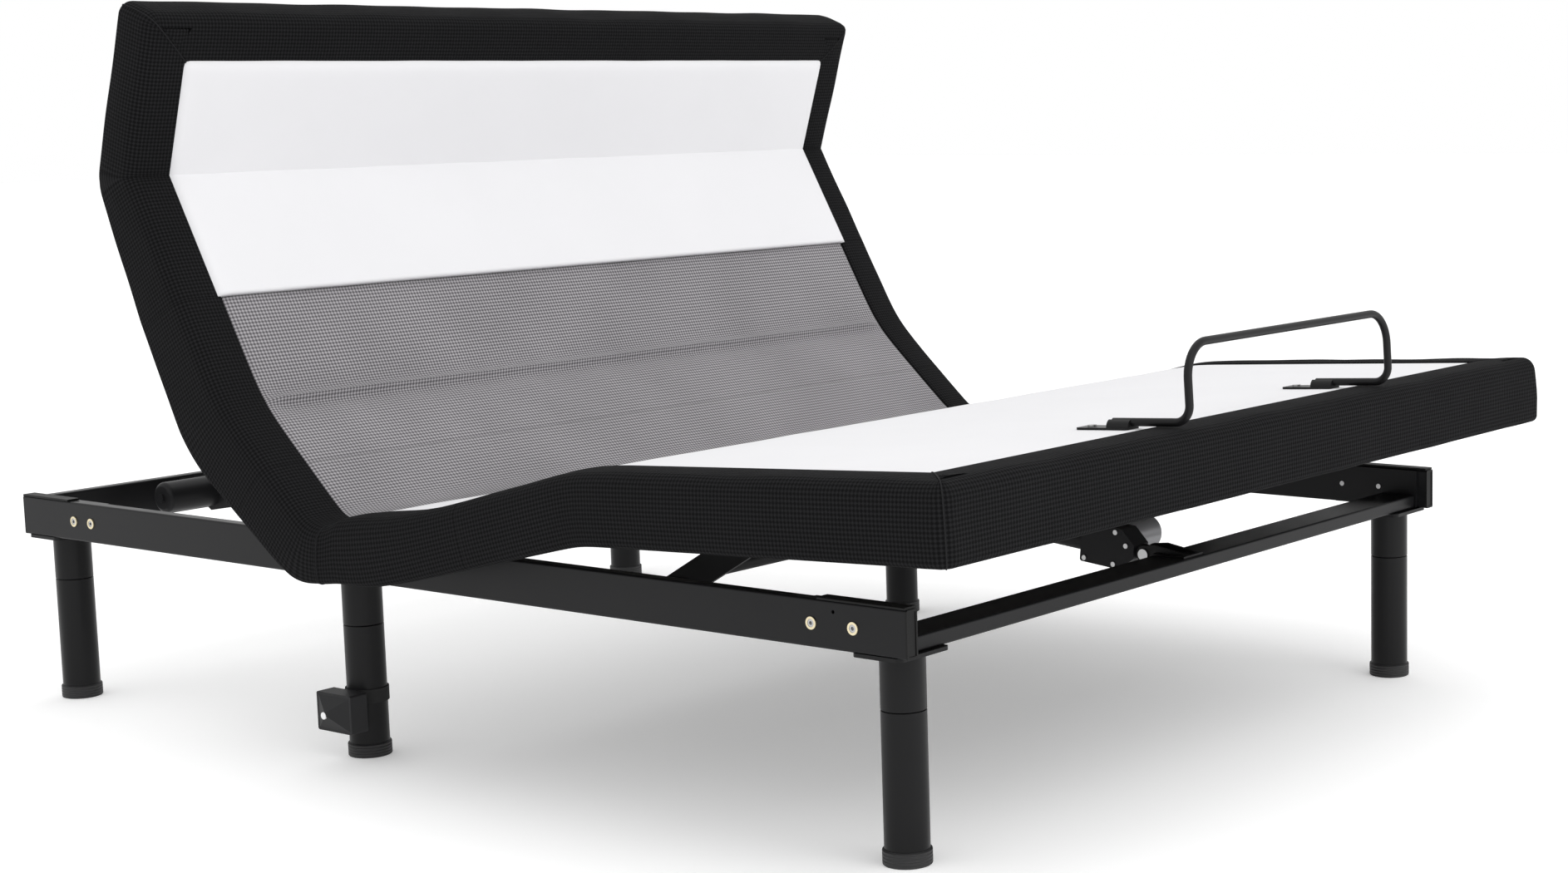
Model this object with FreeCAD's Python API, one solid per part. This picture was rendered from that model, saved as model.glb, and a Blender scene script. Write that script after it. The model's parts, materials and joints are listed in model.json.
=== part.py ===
import FreeCAD, Part
import os
from math import radians, degrees, sin, cos, tan, atan2, hypot, pi
from FreeCAD import Vector as V

# Adjustable bed base with lower frame, six round legs, articulated deck and linear actuators.
# Millimetres. X is the width, the foot end is toward -Y, the head end toward +Y, Z is up, floor at Z = 0.
# The deck is modelled in its resting pose: back raised, pillow section tipped forward, thigh slightly raised.

# ---------------------------------------------------------------- driving dimensions
DY = 0.278                     # shift that centres the object's box on the origin along Y

DECK_W = 1511.0               # over the padded sides
RAIL_X = 659.0                # outer face of the side rails
RAIL_T, RAIL_H, RAIL_WALL = 20.0, 60.0, 2.0
RAIL_Z = 266.0                # underside of the side rails
RAIL_Y0, RAIL_Y1 = -829.0, 968.5
FOOT_RAIL_Y = (-809.0, -749.0)
MID_RAIL_Y = (185.0, 245.0)
HEAD_RAIL_Y = (936.0, 956.0)

LEG_R, LEG_SPLIT = 28.5, 192.0
GLIDE_R, GLIDE_H = 31.0, 20.0
LEG_X = 608.0
LEG_Y = (-779.0, 218.0, 922.0)

AXIS_Z = 333.0                # hinge axes of the fixed seat section
HIP_Y, THIGH_Y = 157.3, 52.9  # head-side and foot-side hinge of the fixed seat section
TOP, PAD0, BOARD0, TUBE0 = 24.0, 12.0, -3.0, -23.0   # heights above the hinge axis
L_LOWER, L_UPPER, L_PILLOW, L_THIGH, L_FOOT = 242.0, 383.0, 249.0, 437.6, 596.0
A_LOWER, A_UPPER, A_PILLOW, A_THIGH, A_FOOT = 42.2, 60.8, 108.0, 14.9, 2.95
SKIRT_T = 28.0                # thickness of the padded sides
DEEP_PILLOW, DEEP_LUMBAR, DEEP_HIP, DEEP_SEAT, DEEP_THIGH, DEEP_KNEE, DEEP_LEG = -50.0, -82.0, -62.0, -54.0, -58.0, -69.0, -75.0  # lower edge of the padded sides, from the axis

LIFT_Y, LIFT_Z, LIFT_ANG, LIFT_L = -343.0, 285.0, 29.5, 260.0   # leg lift frame: pivot, angle, arm length
LUG_R, LUG_ANG = 46.0, 125.0  # its lever
FOOT_ACT = (-732.0, 285.0)    # rear pivot of the foot actuator (Y, Z)
FOOT_ACT_X = 0.0
HEAD_ACT = (905.0, 296.0)     # rear pivot of the head actuator
HEAD_ACT_X = -370.0
HEAD_LUG = (150.0, -50.0)     # lever on the lower back section, along it and above its axis
PIL_REAR = (200.0, -45.0)     # rear pivot of the pillow actuator, on the upper back section
PIL_LUG = (30.0, -60.0)       # lever on the pillow section
PIN_R, HOLE_R, OWN_R = 4.95, 5.05, 5.0   # pivot pins, the holes that turn on them, the holes that hold them
BAR_R, BAR_X, BAR_C, BAR_H, BAR_S = 5.5, 260.0, 22.0, 100.0, 588.0   # mattress stop rod: radius, half width, middle, height, place along the foot section

os.makedirs("parts", exist_ok=True)

# ---------------------------------------------------------------- helpers
def box(x0, x1, y0, y1, z0, z1):
    return Part.makeBox(x1 - x0, y1 - y0, z1 - z0, V(x0, y0, z0))

def cyl(r, h, p, d=(0, 0, 1)):
    return Part.makeCylinder(r, h, V(*p), V(*d))

def rbox(x0, x1, y0, y1, z0, z1, r, axis="all"):
    b = box(x0, x1, y0, y1, z0, z1)
    es = []
    for e in b.Edges:
        t = e.tangentAt(e.FirstParameter)
        d = "xyz"[max(range(3), key=lambda i: abs((t.x, t.y, t.z)[i]))]
        if axis == "all" or d == axis:
            es.append(e)
    return b.makeFillet(r, es)

def tube_y(x0, x1, z0, z1, y0, y1, wall=RAIL_WALL, r=3.0):
    """Rectangular tube along Y."""
    return rbox(x0, x1, y0, y1, z0, z1, r, "y").cut(
        box(x0 + wall, x1 - wall, y0 - 1, y1 + 1, z0 + wall, z1 - wall))

def tube_x(y0, y1, z0, z1, x0, x1, wall=RAIL_WALL, r=3.0):
    return rbox(x0, x1, y0, y1, z0, z1, r, "x").cut(
        box(x0 - 1, x1 + 1, y0 + wall, y1 - wall, z0 + wall, z1 - wall))

def prism_x(pts, x0, x1):
    """Polygon in the Y-Z plane pushed along X."""
    w = Part.makePolygon([V(x0, y, z) for y, z in pts] + [V(x0, *pts[0])])
    return Part.Face(w).extrude(V(x1 - x0, 0, 0))

def fuse(items):
    s = items[0]
    if len(items) > 1:
        s = s.fuse(items[1:])
    return s.removeSplitter()

def group(items):
    return Part.makeCompound(items)

def mirror(s):
    return s.mirror(V(0, 0, 0), V(1, 0, 0))

def both(s):
    return [s, mirror(s)]

written = []
def out(name, shape):
    s = shape.copy()
    s.translate(V(0, DY, 0))
    s.exportStep("parts/%s.step" % name)
    written.append(name)

def rot_yz(v, a):
    a = radians(a)
    return (v[0] * cos(a) - v[1] * sin(a), v[0] * sin(a) + v[1] * cos(a))

def add(p, q):
    return (p[0] + q[0], p[1] + q[1])

# hinge axes at rest, as (Y, Z)
HIP = (HIP_Y, AXIS_Z)
THIGH = (THIGH_Y, AXIS_Z)
LUMBAR = add(HIP, rot_yz((L_LOWER, 0), A_LOWER))
PILLOW = add(LUMBAR, rot_yz((L_UPPER, 0), A_UPPER))
KNEE = add(THIGH, rot_yz((-L_THIGH, 0), -A_THIGH))

class Section:
    """A deck section. Shapes are drawn flat with s running away from the hinge and w above its axis."""
    def __init__(self, origin, angle, leg):
        self.o, self.a, self.leg = origin, angle, leg

    def put(self, shape):
        s = shape.copy()
        if self.leg:
            s.rotate(V(0, 0, 0), V(1, 0, 0), -self.a)
        else:
            s.rotate(V(0, 0, 0), V(1, 0, 0), self.a)
        s.translate(V(0, self.o[0], self.o[1]))
        return s

    def box(self, x0, x1, s0, s1, w0, w1):
        return box(x0, x1, -s1, -s0, w0, w1) if self.leg else box(x0, x1, s0, s1, w0, w1)

    def prism(self, pts, x0, x1):
        k = -1 if self.leg else 1
        return prism_x([(k * s, w) for s, w in pts], x0, x1)

    def disc(self, x0, x1, s, w, r):
        k = -1 if self.leg else 1
        return cyl(r, x1 - x0, (x0, k * s, w), (1, 0, 0))

lower = Section(HIP, A_LOWER, False)
upper = Section(LUMBAR, A_UPPER, False)
pillow = Section(PILLOW, A_PILLOW, False)
thigh = Section(THIGH, A_THIGH, True)
foot = Section(KNEE, A_FOOT, True)

HW = DECK_W / 2
SX = HW - SKIRT_T
IN = RAIL_X - RAIL_T          # inner face of the side rails
BOLT_Y = (-680.0, -746.0, 790.0, 834.0)

def hull_plate(centres, x0, x1):
    """Plate across three (centre, radius) points: a disc at each and straight sides between them."""
    items = [cyl(r, x1 - x0, (x0, c[0], c[1]), (1, 0, 0)) for c, r in centres]
    n = len(centres)
    for i in range(n):
        for j in range(i + 1, n):
            (c, r), (d, q) = centres[i], centres[j]
            L = hypot(d[0] - c[0], d[1] - c[1])
            n1 = (-(d[1] - c[1]) / L, (d[0] - c[0]) / L)
            f = 0.985
            items.append(prism_x([(c[0] + n1[0] * r * f, c[1] + n1[1] * r * f), (d[0] + n1[0] * q * f, d[1] + n1[1] * q * f),
                                  (d[0] - n1[0] * q * f, d[1] - n1[1] * q * f), (c[0] - n1[0] * r * f, c[1] - n1[1] * r * f)], x0, x1))
    if n == 3:
        items.append(prism_x([c for c, r in centres], x0, x1))
    return fuse(items)

# ================================================================ lower frame
for name, k in (("rail_near", -1), ("rail_far", 1)):
    r = tube_y(RAIL_X - RAIL_T, RAIL_X, RAIL_Z, RAIL_Z + RAIL_H, RAIL_Y0 + 3, RAIL_Y1 - 3)
    for y in BOLT_Y:
        r = r.cut(cyl(4.2, 40, (RAIL_X - 30, y, RAIL_Z + 30), (1, 0, 0)))
    r = r.cut(cyl(2.4, 10, (RAIL_X - 5, -715, RAIL_Z + 47), (1, 0, 0)))
    out(name, r if k > 0 else mirror(r))

plugs, caps, rings, bolts = [], [], [], []
for y, d in ((RAIL_Y0, 1), (RAIL_Y1, -1)):
    y0, y1 = sorted((y, y + 3 * d))
    head = rbox(RAIL_X - RAIL_T, RAIL_X, y0, y1, RAIL_Z, RAIL_Z + RAIL_H, 2.5, "y")
    p0, p1 = sorted((y + 3 * d, y + 18 * d))
    stem = box(RAIL_X - RAIL_T + 2.1, RAIL_X - 2.1, p0, p1, RAIL_Z + 2.1, RAIL_Z + RAIL_H - 2.1)
    face = y0 if d > 0 else y1 - 1
    head = head.cut(box(RAIL_X - RAIL_T + 3, RAIL_X - 3, face, face + 1, RAIL_Z + 3, RAIL_Z + RAIL_H - 3))
    plugs += both(fuse([head, stem]))
for y0, y1 in ((RAIL_Y0 + 2, -690.0), (848.0, RAIL_Y1 - 2)):
    caps += both(rbox(RAIL_X - RAIL_T - 0.5, RAIL_X + 0.8, y0, y1, RAIL_Z + RAIL_H, RAIL_Z + RAIL_H + 3.2, 1.0, "y"))
for y in BOLT_Y:
    z = RAIL_Z + 30
    ring = cyl(8.0, 1.6, (RAIL_X, y, z), (1, 0, 0)).cut(cyl(5.0, 4, (RAIL_X - 1, y, z), (1, 0, 0)))
    rings += both(ring)
    hexa = Part.Face(Part.makePolygon([V(RAIL_X + 1.2, y + 2.6 * cos(i * pi / 3), z + 2.6 * sin(i * pi / 3)) for i in range(7)])).extrude(V(-3, 0, 0))
    b = cyl(4.8, 1.2, (RAIL_X, y, z), (1, 0, 0)).fuse(cyl(3.9, 26, (RAIL_X - 26, y, z), (1, 0, 0))).removeSplitter()
    bolts += both(b.cut(hexa))
out("rail_end_plugs", group(plugs))
out("rail_top_caps", group(caps))
out("rail_ferrules", group(rings))
out("rail_bolts", group(bolts))

out("foot_rail", tube_x(FOOT_RAIL_Y[0], FOOT_RAIL_Y[1], RAIL_Z, RAIL_Z + 20, -IN + 5, IN - 5))
out("mid_rail", tube_x(MID_RAIL_Y[0], MID_RAIL_Y[1], RAIL_Z, RAIL_Z + 20, -IN + 5, IN - 5))
out("head_rail", tube_x(HEAD_RAIL_Y[0], HEAD_RAIL_Y[1], RAIL_Z, RAIL_Z + RAIL_H, -IN + 5, IN - 5))

# plates on the inner faces of the side rails: ends of the cross rails, and the pivot brackets of the leg lift frame
ends = []
for y0, y1 in ((-812.0, -668.0), (180.0, 250.0), (776.0, 960.0)):
    p = box(IN - 5, IN, y0, y1, RAIL_Z + 1, RAIL_Z + RAIL_H - 1)
    for y in BOLT_Y:
        if y0 < y < y1:
            p = p.cut(cyl(4.2, 12, (IN - 8, y, RAIL_Z + 30), (1, 0, 0)))
    ends += both(p)
b = fuse([box(555, 560, LIFT_Y - 22, LIFT_Y + 22, 267, 300),
          box(560, IN, LIFT_Y - 22, LIFT_Y + 22, 268, 274),
          box(IN - 5, IN, LIFT_Y - 30, LIFT_Y + 30, 268, 320),
          cyl(6, 11.2, (543.8, LIFT_Y, LIFT_Z), (1, 0, 0)), cyl(9, 3, (541, LIFT_Y, LIFT_Z), (1, 0, 0))])
ends += both(b)
out("rail_inner_plates", group(ends))

# ================================================================ legs
lowers, uppers, glides, plates = [], [], [], []
for y in LEG_Y:
    for k in (-1, 1):
        x = k * LEG_X
        up = cyl(LEG_R, RAIL_Z - 5 - LEG_SPLIT - 0.8, (x, y, LEG_SPLIT + 0.8))
        up = up.makeFillet(0.8, [e for e in up.Edges if len(e.Vertexes) == 1 and e.BoundBox.ZMax < LEG_SPLIT + 2])
        uppers.append(up.cut(cyl(6.2, 30, (x, y, LEG_SPLIT - 1))))
        lo = cyl(LEG_R, LEG_SPLIT - 17, (x, y, 17))
        lo = lo.makeFillet(1.2, [e for e in lo.Edges if len(e.Vertexes) == 1])
        lowers.append(lo.fuse(cyl(6.0, 18, (x, y, LEG_SPLIT))).removeSplitter())
        g = cyl(GLIDE_R, GLIDE_H, (x, y, 0))
        g = g.makeFillet(2.0, [e for e in g.Edges if len(e.Vertexes) == 1])
        glides.append(g.cut(cyl(LEG_R + 0.1, 10, (x, y, 17))))
        xe = k * RAIL_X
        plates.append(rbox(min(xe, k * 562), max(xe, k * 562), y - 38, y + 38, RAIL_Z - 5, RAIL_Z, 8, "z"))
out("leg_lowers", group(lowers))
out("leg_uppers", group(uppers))
out("leg_glides", group(glides))
out("leg_mount_plates", group(plates))

# ================================================================ fixed seat section
out("seat_board", box(-SX, SX, THIGH_Y + 14, HIP_Y - 14, AXIS_Z + BOARD0, AXIS_Z + PAD0))
out("seat_pad", box(-HW, HW, THIGH_Y + 9.4, HIP_Y - 12.4, AXIS_Z + PAD0, AXIS_Z + TOP))
out("seat_side_pads", group(both(box(SX, HW, THIGH_Y + 9.4, HIP_Y - 12.4, AXIS_Z + DEEP_SEAT, AXIS_Z + PAD0))))

# hinge brackets of the seat section, standing on the side rails and carrying the board
b = fuse([
    box(596, 601, THIGH_Y + 2, HIP_Y - 2, AXIS_Z - 20, AXIS_Z - 4),
    cyl(10, 5, (596, THIGH_Y, AXIS_Z), (1, 0, 0)), cyl(10, 5, (596, HIP_Y, AXIS_Z), (1, 0, 0)),
    prism_x([(THIGH_Y, AXIS_Z - 9.9), (THIGH_Y + 9, AXIS_Z - 4), (THIGH_Y + 20, AXIS_Z - 20), (THIGH_Y, AXIS_Z - 20)], 596, 601),
    prism_x([(HIP_Y, AXIS_Z - 9.9), (HIP_Y - 9, AXIS_Z - 4), (HIP_Y - 20, AXIS_Z - 20), (HIP_Y, AXIS_Z - 20)], 596, 601),
    box(601, RAIL_X, THIGH_Y + 16, HIP_Y - 16, RAIL_Z + RAIL_H, AXIS_Z + BOARD0)])
for y in (THIGH_Y, HIP_Y):
    b = b.cut(cyl(OWN_R, 9, (594, y, AXIS_Z), (1, 0, 0)))
out("seat_hinge_brackets", group(both(b)))

cbox = rbox(130, 330, 70, 140, 281, 326, 6, "all").fuse(
    box(140, 320, 112, 125, 326, 330)).removeSplitter()
cbox = cbox.cut(box(150, 172, 139, 141, 292, 306))
out("control_box", cbox)

# ================================================================ deck sections
def lug_arm(sec, x0, x1, s_disc, s_far, hole, w_lo=TUBE0 + 2, r=10.0):
    """Hinge plate: a disc on the axis and a tongue running along the side tube."""
    k = 1 if s_far > s_disc else -1
    d = sec.disc(x0, x1, s_disc, 0, r)
    t = sec.prism([(s_disc, -9.9), (s_disc + k * 9, -4), (s_far, -4), (s_far, w_lo), (s_disc + k * 4, w_lo)], x0, x1)
    p = d.fuse(t).removeSplitter()
    return p.cut(sec.disc(x0 - 1, x1 + 1, s_disc, 0, hole)) if hole else p

def hinge_pin(sec, s):
    """Pin fixed in this section's own plate, passing through the next section's plate to a washer."""
    return fuse([sec.disc(587, 601.4, s, 0, PIN_R), sec.disc(601.3, 604, s, 0, 8)])

def edge_pad(sec, s0_top, s0_low, s1_top, s1_low, deep0, deep1, v0=0.0, v1=0.0):
    """One padded side, trimmed back from the folds so that it clears its neighbours over the travel."""
    return sec.prism([(s0_top, PAD0), (s0_low, -0.5), (s0_low + v0, deep0), (s1_low - v1, deep1), (s1_low, -0.5), (s1_top, PAD0)], SX, HW)

def side_bar(sec, s0, s1, parts):
    """Side member of one section: a rectangular tube with its hinge plates and pins welded on, on both sides."""
    t = sec.box(570, 590, s0, s1, TUBE0, BOARD0).cut(sec.box(571.6, 588.4, s0 - 1, s1 + 1, TUBE0 + 1.6, BOARD0 - 1.6))
    return both(fuse([t] + parts))

def cross_bar(sec, s, extra):
    """Cross tube between the side members, with lever plates welded under it."""
    t = sec.box(-570, 570, s - 12, s + 12, TUBE0, BOARD0).cut(sec.box(-571, 571, s - 10.4, s + 10.4, TUBE0 + 1.6, BOARD0 - 1.6))
    return fuse([t] + extra)

def clevis(sec, x, s, w, w_top, half=14.0, t=5.0, r=11.0):
    """A pair of lever plates hanging from the frame, each with a short stub pin that stops short of the rod's eye."""
    items = []
    for x0, x1, p0, p1 in ((x - half - t, x - half, x - half - 0.5, x - half + 3), (x + half, x + half + t, x + half - 3, x + half + 0.5)):
        items.append(fuse([sec.disc(x0, x1, s, w, r),
                           sec.prism([(s - 12, w_top), (s + 12, w_top), (s + r * 0.95, w), (s - r * 0.95, w)], x0, x1),
                           sec.disc(p0, p1, s, w, 5.0)]))
    return items

# lower back section (hinged to the seat section)
out("back_lower_board", lower.put(lower.box(-SX, SX, 14, L_LOWER - 14, BOARD0, PAD0)))
out("back_lower_pad", lower.put(lower.box(-HW, HW, 12.4, L_LOWER - 5.6, PAD0, TOP)))
out("back_lower_side_pads", lower.put(group(both(edge_pad(lower, 12.4, 7.5, L_LOWER - 5.6, L_LOWER - 0.8, DEEP_HIP, DEEP_LUMBAR)))))
out("back_lower_frame", lower.put(group(
    side_bar(lower, 15, L_LOWER - 15, [lug_arm(lower, 590, 595, 0, 60, HOLE_R), lug_arm(lower, 590, 595, L_LOWER, L_LOWER - 60, 0), hinge_pin(lower, L_LOWER)]) +
    [cross_bar(lower, HEAD_LUG[0], clevis(lower, HEAD_ACT_X, HEAD_LUG[0], HEAD_LUG[1], TUBE0))])))

# upper back section
out("back_upper_board", upper.put(upper.box(-SX, SX, 14, L_UPPER - 14, BOARD0, PAD0)))
out("back_upper_pad", upper.put(upper.box(-HW, HW, 5.6, L_UPPER - 12.6, PAD0, TOP)))
out("back_upper_side_pads", upper.put(group(both(edge_pad(upper, 5.6, 0.8, L_UPPER - 12.6, L_UPPER - 7.5, DEEP_LUMBAR, DEEP_PILLOW)))))
out("back_upper_frame", upper.put(group(
    side_bar(upper, 15, L_UPPER - 15, [lug_arm(upper, 596, 601, 0, 60, HOLE_R), upper.box(590, 596, 30, 60, TUBE0 + 2, BOARD0 - 1),
                                       lug_arm(upper, 590, 595, L_UPPER, L_UPPER - 60, 0), hinge_pin(upper, L_UPPER)]) +
    [cross_bar(upper, PIL_REAR[0], [
        fuse([upper.disc(x0, x0 + 5, PIL_REAR[0], PIL_REAR[1], 11),
              upper.prism([(PIL_REAR[0] - 12, TUBE0), (PIL_REAR[0] + 12, TUBE0), (PIL_REAR[0] + 10.5, PIL_REAR[1]), (PIL_REAR[0] - 10.5, PIL_REAR[1])], x0, x0 + 5)])
        for x0 in (-16.0, 11.0)] + [upper.disc(-16, 16, PIL_REAR[0], PIL_REAR[1], PIN_R)])])))

# pillow section
LP = L_PILLOW - SKIRT_T
out("pillow_board", pillow.put(pillow.box(-SX, SX, 14, LP, BOARD0, PAD0)))
out("pillow_pad", pillow.put(pillow.box(-HW, HW, 12.6, L_PILLOW, PAD0, TOP)))
out("pillow_edge_pads", pillow.put(group(both(edge_pad(pillow, 12.6, 7.5, LP, LP, DEEP_PILLOW, DEEP_PILLOW)) +
    [pillow.box(-HW, HW, LP, L_PILLOW, DEEP_PILLOW, PAD0)])))
out("pillow_frame", pillow.put(group(
    both(fuse([lug_arm(pillow, 596, 601, 0, 140, HOLE_R), pillow.box(576, 596, 40, 140, TUBE0 + 2, BOARD0)])) +
    [fuse([pillow.box(-40, 40, 18, 120, BOARD0 - 4, BOARD0)] + clevis(pillow, 0, PIL_LUG[0], PIL_LUG[1], BOARD0 - 4))])))

# thigh section
out("thigh_board", thigh.put(thigh.box(-SX, SX, 14, L_THIGH - 14, BOARD0, PAD0)))
out("thigh_pad", thigh.put(thigh.box(-HW, HW, 9.4, L_THIGH - 0.8, PAD0, TOP)))
out("thigh_side_pads", thigh.put(group(both(edge_pad(thigh, 9.4, 5.5, L_THIGH - 0.8, L_THIGH - 0.8, DEEP_THIGH, DEEP_KNEE, 0, 20)))))
out("thigh_frame", thigh.put(group(
    side_bar(thigh, 15, L_THIGH - 15, [lug_arm(thigh, 590, 595, 0, 60, HOLE_R), lug_arm(thigh, 590, 595, L_THIGH, L_THIGH - 60, 0), hinge_pin(thigh, L_THIGH)]))))

# foot section with the mattress stop
LF = L_FOOT - SKIRT_T
out("foot_board", foot.put(foot.box(-SX, SX, 14, LF, BOARD0, PAD0)))
out("foot_pad", foot.put(foot.box(-HW, HW, 0.8, L_FOOT, PAD0, TOP)))
out("foot_edge_pads", foot.put(group(both(edge_pad(foot, 0.8, 0.8, LF, LF, DEEP_KNEE, DEEP_LEG, 20, 0)) +
    [foot.box(-HW, HW, LF, L_FOOT, DEEP_LEG, PAD0)])))
out("foot_frame", foot.put(group(side_bar(foot, 20, L_FOOT - 80,
    [lug_arm(foot, 596, 601, 0, 60, HOLE_R), foot.box(590, 596, 30, 60, TUBE0 + 2, BOARD0 - 1)]))))

# mattress stop: two screwed feet with half-round saddles and one bent rod
saddles, screws = [], []
for k in (-1, 1):
    x = BAR_C + k * BAR_X
    base = rbox(x - 15, x + 15, -500, -420, 0, 3, 3, "z")
    sad = cyl(11.5, 34, (x, -499.5, 2.0), (0, 1, 0)).common(box(x - 20, x + 20, -520, -440, 2.0, 20))
    fin = base.fuse(sad).removeSplitter()
    fin = fin.cut(cyl(BAR_R + 0.04, 60, (x, -510, BAR_R + 3.5), (0, 1, 0)))
    fin = fin.cut(cyl(3.0, 6, (x, -436.0, -1)))
    fin.translate(V(0, 0, TOP))
    saddles.append(fin)
    screws.append(fuse([cyl(6, 2.2, (x, -436, TOP + 3)), cyl(2.9, 3.5, (x, -436, TOP))]))
out("mattress_stop_plates", foot.put(group(saddles)))
out("mattress_stop_screws", foot.put(group(screws)))
zc = TOP + 3.5 + BAR_R
R, r1, q = 45.0, 22.0, cos(radians(45))
xa, yb, zt = BAR_X, -BAR_S, zc + BAR_H
def seg(a, b):
    return Part.LineSegment(V(*a), V(*b)).toShape()
def arc(a, m, b):
    return Part.Arc(V(*a), V(*m), V(*b)).toShape()
path = Part.Wire([
    seg((-xa, -470, zc), (-xa, yb + r1, zc)),
    arc((-xa, yb + r1, zc), (-xa, yb + r1 * (1 - q), zc + r1 * (1 - q)), (-xa, yb, zc + r1)),
    seg((-xa, yb, zc + r1), (-xa, yb, zt - R)),
    arc((-xa, yb, zt - R), (-xa + R * (1 - q), yb, zt - R * (1 - q)), (-xa + R, yb, zt)),
    seg((-xa + R, yb, zt), (xa - R, yb, zt)),
    arc((xa - R, yb, zt), (xa - R * (1 - q), yb, zt - R * (1 - q)), (xa, yb, zt - R)),
    seg((xa, yb, zt - R), (xa, yb, zc + r1)),
    arc((xa, yb, zc + r1), (xa, yb + r1 * (1 - q), zc + r1 * (1 - q)), (xa, yb + r1, zc)),
    seg((xa, yb + r1, zc), (xa, -470, zc))])
prof = Part.Wire([Part.makeCircle(BAR_R, V(-xa, -470, zc), V(0, 1, 0))])
bar = path.makePipeShell([prof], True, True)
bar.translate(V(BAR_C, 0, 0))
out("mattress_stop_bar", foot.put(bar))

# ================================================================ leg lift frame
def lift_pt(s, w):
    """Point of the lift frame, s along the arm from its pivot toward the foot end and w above it."""
    a = radians(LIFT_ANG)
    return (LIFT_Y - s * cos(a) + w * sin(a), LIFT_Z + s * sin(a) + w * cos(a))

rp = lift_pt(LIFT_L, 0)
cp = lift_pt(62, 0)
for k in (-1, 1):
    arm = prism_x([lift_pt(0, -20), lift_pt(LIFT_L - 40, -20), lift_pt(LIFT_L, -11.9), lift_pt(LIFT_L, 11.9), lift_pt(LIFT_L - 40, 20), lift_pt(0, 20)], 546, 552)
    arm = fuse([arm, cyl(20, 6, (546, LIFT_Y, LIFT_Z), (1, 0, 0)), cyl(12, 6, (546,) + rp, (1, 0, 0)),
                cyl(PIN_R, 40.8, (550,) + rp, (1, 0, 0)), cyl(8, 4, (590.6,) + rp, (1, 0, 0))])
    arm = arm.cut(cyl(6.1, 10, (544, LIFT_Y, LIFT_Z), (1, 0, 0)))
    out("lift_arm_near" if k < 0 else "lift_arm_far", mirror(arm) if k < 0 else arm)
# cross tube in two halves, each ending at a lever plate; the rod passes between the plates and a short tie joins them below
lug = (LIFT_Y + LUG_R * cos(radians(LUG_ANG)), LIFT_Z + LUG_R * sin(radians(LUG_ANG)))
tie = (LIFT_Y + 42 * cos(radians(LUG_ANG + 92)), LIFT_Z + 42 * sin(radians(LUG_ANG + 92)))
plate = hull_plate([(lug, 10.0), (cp, 14.0), (tie, 10.0)], 14, 19)
half = fuse([cyl(11, 546 - 19, (19,) + cp, (1, 0, 0)).cut(cyl(9, 540, (20,) + cp, (1, 0, 0))), plate, cyl(5, 3.5, (11,) + lug, (1, 0, 0))])
out("lift_cross_tube", fuse([half, mirror(half), cyl(8, 29, (-14.5,) + tie, (1, 0, 0))]))
out("lift_rollers", group(both(cyl(18, 24, (566,) + rp, (1, 0, 0)).cut(cyl(HOLE_R, 30, (560,) + rp, (1, 0, 0))))))

# ================================================================ actuators
def actuator(prefix, x, rear, tip, tube_len, motor_dir, motor_len, motor_r, motor_s, with_screws):
    """Linear actuator drawn along +Y from its rear eye, then turned into place. Returns its angle and its length."""
    ang = degrees(atan2(tip[1] - rear[1], tip[0] - rear[0]))
    L = hypot(tip[0] - rear[0], tip[1] - rear[1])
    def put(s):
        s = s.copy()
        s.rotate(V(0, 0, 0), V(1, 0, 0), ang)
        s.translate(V(x, rear[0], rear[1]))
        return s
    flip = 1 if abs(ang) < 90 else -1
    gear = rbox(-18, 18, 16, 106, -29, 29, 4, "x")
    gear = gear.cut(prism_x([(14, -30), (40, -30), (14, -8)], -20, 20)).cut(prism_x([(14, 30), (40, 30), (14, 8)], -20, 20))
    eye = fuse([cyl(11, 16, (-8, 0, 0), (1, 0, 0)), box(-8, 8, 0, 18, -9, 9)]).cut(cyl(HOLE_R, 20, (-10, 0, 0), (1, 0, 0)))
    tb = cyl(17, tube_len + 2, (0, 104, 0), (0, 1, 0))
    house = fuse([gear, eye, tb]).cut(cyl(10.6, tube_len + 10, (0, 110, 0), (0, 1, 0)))
    m0 = (18 if motor_dir > 0 else -18 - motor_len)
    mot = cyl(motor_r, motor_len, (m0, motor_s, flip * 3), (1, 0, 0))
    far = 18 + motor_len if motor_dir > 0 else -18 - motor_len
    mot = mot.makeFillet(7, [e for e in mot.Edges if len(e.Vertexes) == 1 and abs(e.BoundBox.XMin - far) < 0.5])
    nub = cyl(7, 5, ((far - 1) if motor_dir > 0 else (far - 4), motor_s, flip * 3), (1, 0, 0))
    out(prefix + "_motor", put(fuse([mot, nub])))
    scr = []
    for s, w in ((29, 7), (48, -23), (98, -23), (98, 23), (48, 23)):
        for sx in (-1, 1):
            if sx == motor_dir:
                continue
            scr.append(cyl(3.6, 2.0, (18 if sx > 0 else -20, s, w), (1, 0, 0)))
    if with_screws:
        out(prefix + "_screws", put(group(scr)))
        out(prefix + "_housing", put(house))
    else:
        out(prefix + "_housing", put(fuse([house] + scr)))
    rod = cyl(10, L - 12 - 150, (0, 150, 0), (0, 1, 0))
    tipe = fuse([cyl(9.5, 16, (-8, L, 0), (1, 0, 0)), box(-8, 8, L - 26, L, -8, 8)])
    out(prefix + "_rod", put(fuse([rod, tipe]).cut(cyl(5.6, 20, (-10, L, 0), (1, 0, 0)))))
    return ang, L

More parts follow.
